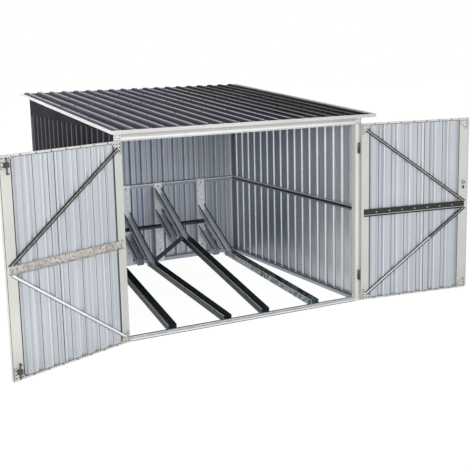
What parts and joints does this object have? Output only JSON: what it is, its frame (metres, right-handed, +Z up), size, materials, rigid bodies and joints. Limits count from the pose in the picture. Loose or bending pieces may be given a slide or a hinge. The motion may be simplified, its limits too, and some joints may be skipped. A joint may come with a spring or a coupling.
{
  "type": "bike_shelter",
  "caption": "Pent-roof sheet-metal bike shelter with double doors standing open and inclined tyre channels inside",
  "frame": {"origin": "centre of the four anchor holes on the ground under the shelter", "axes": "x to the right along the doors, y from the doors to the rear wall, z up"},
  "size_m": [3.5583, 2.4358, 1.5419],
  "materials": {
    "white_paint": "smooth satin off-white paint",
    "wall_paint": "satin anthracite paint",
    "roof_paint": "satin anthracite paint",
    "door_panel_paint": "pale blue-grey coating inside, anthracite paint outside",
    "door_frame_paint": "smooth satin cream-white paint",
    "galvanised_trim": "zinc coated, slightly mottled",
    "galvanised_rack": "dark zinc coated, satin",
    "lock_steel": "zinc plated"
  },
  "bodies": {
    "shelter": {"base_sill_front": "galvanised_trim", "base_rail_left": "galvanised_trim", "base_rail_right": "galvanised_trim", "base_rail_rear": "galvanised_trim", "mid_rail_left": "galvanised_trim", "mid_rail_right": "galvanised_trim", "mid_rail_rear": "galvanised_trim", "top_rail_left": "galvanised_trim", "top_rail_right": "galvanised_trim", "top_rail_rear": "galvanised_trim", "post_front_left": "white_paint", "post_front_right": "white_paint", "post_rear_left": "white_paint", "post_rear_right": "white_paint", "header_front": "white_paint", "wall_sheet_left": "wall_paint", "wall_sheet_right": "wall_paint", "wall_sheet_rear": "wall_paint", "gable_left": "wall_paint", "gable_right": "wall_paint", "roof_sheet_front": "roof_paint", "roof_sheet_rear": "roof_paint", "roof_trim_front": "white_paint", "roof_trim_left": "white_paint", "roof_trim_right": "white_paint", "rack_cross_bar": "galvanised_rack", "rack_tie_middle": "galvanised_rack", "rack_tie_left": "galvanised_rack", "tyre_channel_1": "galvanised_rack", "wheel_guide_1": "galvanised_rack", "tyre_channel_2": "galvanised_rack", "wheel_guide_2": "galvanised_rack", "tyre_channel_3": "galvanised_rack", "wheel_guide_3": "galvanised_rack", "tyre_channel_4": "galvanised_rack", "wheel_guide_4": "galvanised_rack"},
    "left_door": {"left_door_frame": "door_frame_paint", "left_door_panel": "door_panel_paint", "left_door_mid_rail": "galvanised_trim", "left_door_brace_upper": "galvanised_trim", "left_door_brace_lower": "galvanised_trim"},
    "right_door": {"right_door_frame": "door_frame_paint", "right_door_panel": "door_panel_paint", "right_door_mid_rail": "galvanised_trim", "right_door_brace_upper": "galvanised_trim", "right_door_brace_lower": "galvanised_trim", "right_door_cover_lip": "door_frame_paint", "right_door_latch": "lock_steel"},
    "upper_bolt": {"left_door_bolt_upper": "lock_steel"},
    "lower_bolt": {"left_door_bolt_lower": "lock_steel"}
  },
  "joints": [
    {"name": "left_door_hinge", "type": "hinge", "parent": "shelter", "child": "left_door", "pos_m": [-0.902, -1.0245, 0.663], "axis": [0, 0, 1], "range_deg": [-20, 158.5]},
    {"name": "right_door_hinge", "type": "hinge", "parent": "shelter", "child": "right_door", "pos_m": [0.902, -1.0245, 0.663], "axis": [0, 0, 1], "range_deg": [-172.5, 6]},
    {"name": "upper_bolt_slide", "type": "slide", "parent": "left_door", "child": "upper_bolt", "axis": [0, 0, 1], "range_m": [0, 0.02]},
    {"name": "lower_bolt_slide", "type": "slide", "parent": "left_door", "child": "lower_bolt", "axis": [0, 0, -1], "range_m": [0, 0.02]}
  ]
}
